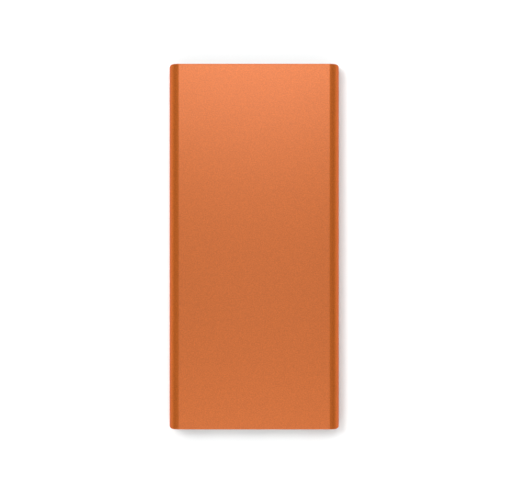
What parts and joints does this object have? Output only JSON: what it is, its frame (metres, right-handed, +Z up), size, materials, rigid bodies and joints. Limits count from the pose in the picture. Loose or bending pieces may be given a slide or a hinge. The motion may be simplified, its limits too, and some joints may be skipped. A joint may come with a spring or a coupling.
{
  "type": "slim power bank",
  "caption": "Slim pocket power bank in a flat anodised aluminium sleeve, with sockets, charge lamps and a push button in one end.",
  "frame": {"origin": "centre of the face that it rests on, at that face's height", "axes": "+Z up through the thickness, +Y along the sleeve towards the blind end with the sockets at -Y, +X across towards the push button"},
  "size_m": [0.0698, 0.15, 0.01],
  "materials": {
    "anodised_aluminium": "bead-blasted and anodised orange",
    "button_aluminium": "turned and anodised orange",
    "fascia_plastic": "fine-textured black moulding",
    "bulkhead_plastic": "plain black moulding",
    "tray_plastic": "natural grey moulding",
    "adhesive_tape": "double-sided tape",
    "screw_steel": "zinc-plated steel",
    "socket_steel": "nickel-plated folded steel",
    "insulator_plastic": "glass-filled white moulding",
    "micro_insulator_plastic": "glass-filled black moulding",
    "contact_metal": "gold-flashed brass",
    "switch_plastic": "black moulding",
    "plunger_plastic": "natural moulding",
    "dome_steel": "sprung stainless steel",
    "clear_acrylic": "clear moulding, lightly frosted ends",
    "led_resin": "lamp resin",
    "circuit_board": "green solder mask",
    "chip_resin": "black moulding resin",
    "ferrite": "grey ferrite",
    "tantalum_resin": "yellow moulding resin",
    "ceramic": "tan ceramic with tinned ends",
    "pouch_foil": "satin laminate foil",
    "tab_aluminium": "rolled aluminium",
    "tab_nickel": "rolled nickel",
    "kapton": "amber polyimide film",
    "clear_film": "clear polyester film",
    "foam": "black closed-cell foam",
    "red_insulation": "red silicone rubber",
    "black_insulation": "black silicone rubber",
    "solder": "tin solder"
  },
  "bodies": {
    "housing": {"sleeve": "anodised_aluminium", "port_bulkhead": "bulkhead_plastic", "blind_bulkhead": "bulkhead_plastic", "port_fascia": "fascia_plastic", "blind_fascia": "fascia_plastic", "port_fascia_tape": "adhesive_tape", "blind_fascia_tape": "adhesive_tape", "port_end_screws": "screw_steel", "blind_end_screws": "screw_steel", "board_screws": "screw_steel", "tray": "tray_plastic", "main_board": "circuit_board", "protection_board": "circuit_board", "usb_a_left_shell": "socket_steel", "usb_a_right_shell": "socket_steel", "micro_usb_shell": "socket_steel", "usb_a_left_insulator": "insulator_plastic", "usb_a_right_insulator": "insulator_plastic", "micro_usb_insulator": "micro_insulator_plastic", "usb_a_left_contacts": "contact_metal", "usb_a_right_contacts": "contact_metal", "micro_usb_contacts": "contact_metal", "switch_housing": "switch_plastic", "switch_dome": "dome_steel", "light_guide": "clear_acrylic", "indicator_leds": "led_resin", "power_inductor": "ferrite", "controller_chip": "chip_resin", "mosfets": "chip_resin", "protection_chips": "chip_resin", "chip_resistors": "chip_resin", "tantalum_capacitors": "tantalum_resin", "ceramic_capacitors": "ceramic", "output_capacitors": "ceramic", "board_film": "clear_film", "pouch_cell": "pouch_foil", "cell_tapes": "adhesive_tape", "foam_pads": "foam", "protection_spacer": "foam", "positive_tab": "tab_aluminium", "negative_tab": "tab_nickel", "insulating_tape": "kapton", "positive_lead": "red_insulation", "negative_lead": "black_insulation", "lead_solder": "solder"},
    "power_button": {"power_button": "button_aluminium"},
    "switch_plunger": {"switch_plunger": "plunger_plastic"}
  },
  "joints": [
    {"name": "power_button_press", "type": "slide", "parent": "housing", "child": "power_button", "axis": [0, 1, 0], "range_m": [0, 0.0003], "stiffness_N_per_m": 2500},
    {"name": "switch_plunger_slide", "type": "slide", "parent": "housing", "child": "switch_plunger", "axis": [0, 1, 0], "range_m": [0, 0.0003], "deforming": ["switch_dome"]}
  ],
  "couplings": [
    {"joint": "switch_plunger_slide", "follows": "power_button_press", "ratio": 1}
  ]
}
